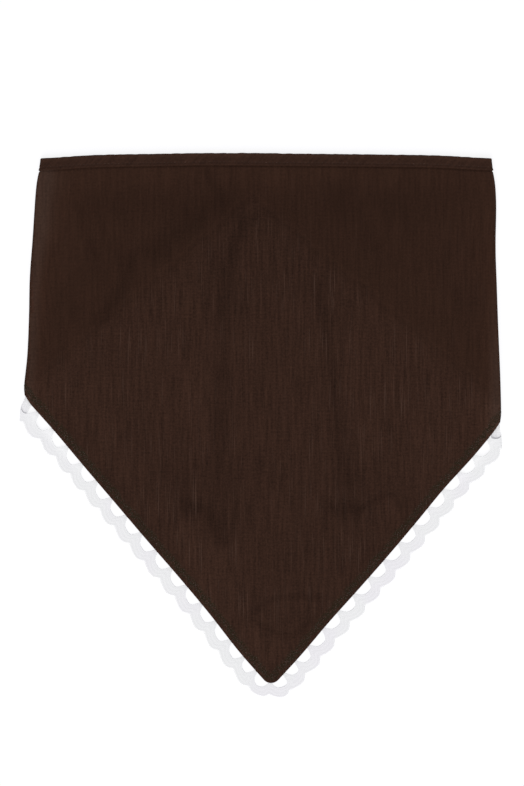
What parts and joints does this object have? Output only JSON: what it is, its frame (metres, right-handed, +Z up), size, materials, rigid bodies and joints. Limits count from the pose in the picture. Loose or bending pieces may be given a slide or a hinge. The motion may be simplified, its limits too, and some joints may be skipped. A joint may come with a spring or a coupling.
{
  "type": "neckerchief",
  "caption": "Triangular cotton neckerchief with a bound top edge and scalloped lace hems, lying flat with both side corners folded behind.",
  "frame": {"origin": "the middle of the bounding box's underside, on the surface that the neckerchief lies on", "axes": "+X right along the bound top edge as the good side is seen, +Y from the point of the triangle towards the top edge, +Z up out of the good side"},
  "size_m": [0.3818, 0.4346, 0.0099],
  "materials": {
    "cotton": "dark brown plain-woven cotton with fine upright slubs, matt",
    "binding_tape": "dark brown bias tape of the same cotton, edge-stitched, matt",
    "lace": "cool white machine lace with scallops and open eyelets, matt"
  },
  "bodies": {
    "root": {"kerchief_cloth": "cotton", "top_binding": "binding_tape", "lace_edging": "lace"}
  },
  "joints": []
}
